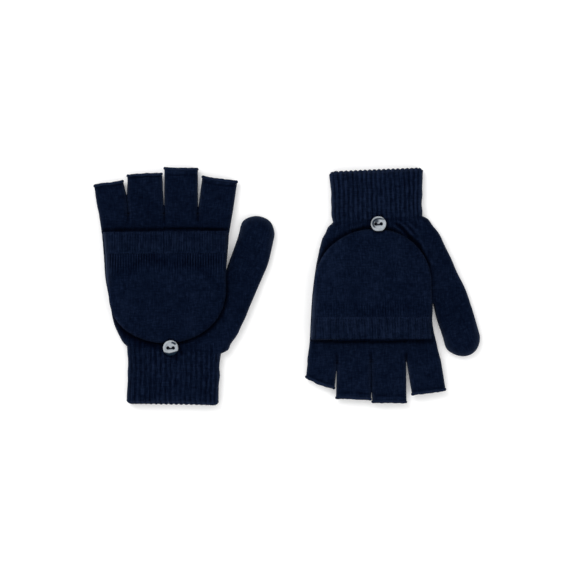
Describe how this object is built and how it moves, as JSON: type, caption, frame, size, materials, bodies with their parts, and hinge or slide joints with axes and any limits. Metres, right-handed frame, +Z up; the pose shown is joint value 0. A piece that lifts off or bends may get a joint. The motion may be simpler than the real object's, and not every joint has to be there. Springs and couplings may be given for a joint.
{
  "type": "convertible flip-top mittens",
  "caption": "Knitted fingerless gloves with closed thumbs and a mitten cap folded back over each hand, held by a button on the ribbed cuff; a pair laid flat.",
  "frame": {"origin": "on the table under the middle of the pair's bounding box", "axes": "+X from the left mitten to the right one, +Y along the left mitten's fingers (the right mitten's fingers point to -Y), +Z up from the table"},
  "size_m": [0.3026, 0.1862, 0.0171],
  "materials": {
    "jersey_knit": "matte",
    "rib_knit": "matte",
    "linking_yarn": "matte",
    "sewing_thread": "satin",
    "elastic_cord": "matte",
    "button_resin": "gloss"
  },
  "bodies": {
    "left_hand": {"left_cuff": "rib_knit", "left_cuff_edge": "rib_knit", "left_hand_palm": "jersey_knit", "left_hand_back": "jersey_knit", "left_knuckles": "jersey_knit", "left_thumb_crease": "jersey_knit", "left_cap_seam": "linking_yarn", "left_cap_hinge_thread": "linking_yarn", "left_little_stall": "jersey_knit", "left_little_edge": "jersey_knit", "left_ring_stall": "jersey_knit", "left_ring_edge": "jersey_knit", "left_middle_stall": "jersey_knit", "left_middle_edge": "jersey_knit", "left_index_stall": "jersey_knit", "left_index_edge": "jersey_knit"},
    "left_cap_back": {"left_cap_back_panel": "jersey_knit"},
    "left_cap_front": {"left_cap_palm_panel": "jersey_knit", "left_cap_rib_band": "rib_knit"},
    "left_loop": {"left_button_loop": "elastic_cord"},
    "left_thumb": {"left_thumb": "jersey_knit"},
    "left_shank": {"left_button_shank": "sewing_thread"},
    "left_button": {"left_button": "button_resin", "left_button_thread": "sewing_thread"},
    "right_hand": {"right_cuff": "rib_knit", "right_cuff_edge": "rib_knit", "right_hand_palm": "jersey_knit", "right_hand_back": "jersey_knit", "right_knuckles": "jersey_knit", "right_thumb_crease": "jersey_knit", "right_cap_seam": "linking_yarn", "right_cap_hinge_thread": "linking_yarn", "right_little_stall": "jersey_knit", "right_little_edge": "jersey_knit", "right_ring_stall": "jersey_knit", "right_ring_edge": "jersey_knit", "right_middle_stall": "jersey_knit", "right_middle_edge": "jersey_knit", "right_index_stall": "jersey_knit", "right_index_edge": "jersey_knit"},
    "right_cap_back": {"right_cap_back_panel": "jersey_knit"},
    "right_cap_front": {"right_cap_palm_panel": "jersey_knit", "right_cap_rib_band": "rib_knit"},
    "right_loop": {"right_button_loop": "elastic_cord"},
    "right_thumb": {"right_thumb": "jersey_knit"},
    "right_shank": {"right_button_shank": "sewing_thread"},
    "right_button": {"right_button": "button_resin", "right_button_thread": "sewing_thread"}
  },
  "joints": [
    {"name": "left_cap_flip", "type": "hinge", "parent": "left_hand", "child": "left_cap_back", "pos_m": [-0.09359, 0.04153, 0.01005], "axis": [-1, 0, 0], "range_deg": [0, 180], "deforming": ["left_cap_palm_panel", "left_cap_rib_band", "left_button_loop"]},
    {"name": "left_cap_pocket_open", "type": "slide", "parent": "left_cap_back", "child": "left_cap_front", "axis": [0, 0, 1], "range_m": [0, 0.0032]},
    {"name": "left_loop_lift", "type": "hinge", "parent": "left_cap_back", "child": "left_loop", "pos_m": [-0.09104, -0.04447, 0.0105], "axis": [-1, 0, 0], "range_deg": [0, 60], "deforming": ["left_button_loop"]},
    {"name": "left_thumb_fold", "type": "hinge", "parent": "left_hand", "child": "left_thumb", "pos_m": [-0.03367, 0.01176, 0.0039], "axis": [0.9563, -0.2924, 0], "range_deg": [0, 60], "deforming": ["left_thumb_crease"]},
    {"name": "left_button_swivel", "type": "hinge", "parent": "left_hand", "child": "left_shank", "pos_m": [-0.09104, -0.04827, 0.0128], "axis": [0, 0, 1], "range_deg": [-25, 25]},
    {"name": "left_button_tilt", "type": "hinge", "parent": "left_shank", "child": "left_button", "pos_m": [-0.09104, -0.04827, 0.01165], "axis": [1, 0, 0], "range_deg": [0, 15]},
    {"name": "right_cap_flip", "type": "hinge", "parent": "right_hand", "child": "right_cap_back", "pos_m": [0.06757, -0.03998, 0.01005], "axis": [0.9995, 0.0314, 0], "range_deg": [0, 180], "deforming": ["right_cap_palm_panel", "right_cap_rib_band", "right_button_loop"]},
    {"name": "right_cap_pocket_open", "type": "slide", "parent": "right_cap_back", "child": "right_cap_front", "axis": [0, 0, 1], "range_m": [0, 0.0032]},
    {"name": "right_loop_lift", "type": "hinge", "parent": "right_cap_back", "child": "right_loop", "pos_m": [0.07046, 0.04476, 0.0105], "axis": [0.9995, 0.0314, 0], "range_deg": [0, 60], "deforming": ["right_button_loop"]},
    {"name": "right_thumb_fold", "type": "hinge", "parent": "right_hand", "child": "right_thumb", "pos_m": [0.12743, -0.01191, 0.0039], "axis": [-0.9466, -0.3223, 0], "range_deg": [0, 60], "deforming": ["right_thumb_crease"]},
    {"name": "right_button_swivel", "type": "hinge", "parent": "right_hand", "child": "right_shank", "pos_m": [0.07035, 0.04816, 0.0128], "axis": [0, 0, 1], "range_deg": [-25, 25]},
    {"name": "right_button_tilt", "type": "hinge", "parent": "right_shank", "child": "right_button", "pos_m": [0.07035, 0.04816, 0.01165], "axis": [-0.9995, -0.0314, 0], "range_deg": [0, 15]},
    {"name": "right_mitten_lift", "type": "slide", "parent": "left_hand", "child": "right_hand", "axis": [0, 0, 1], "range_m": [0, 0.08]}
  ],
  "couplings": [
    {"joint": "left_cap_pocket_open", "follows": "left_cap_flip", "m_per_rad": 0.0010185},
    {"joint": "right_cap_pocket_open", "follows": "right_cap_flip", "m_per_rad": 0.0010185}
  ]
}
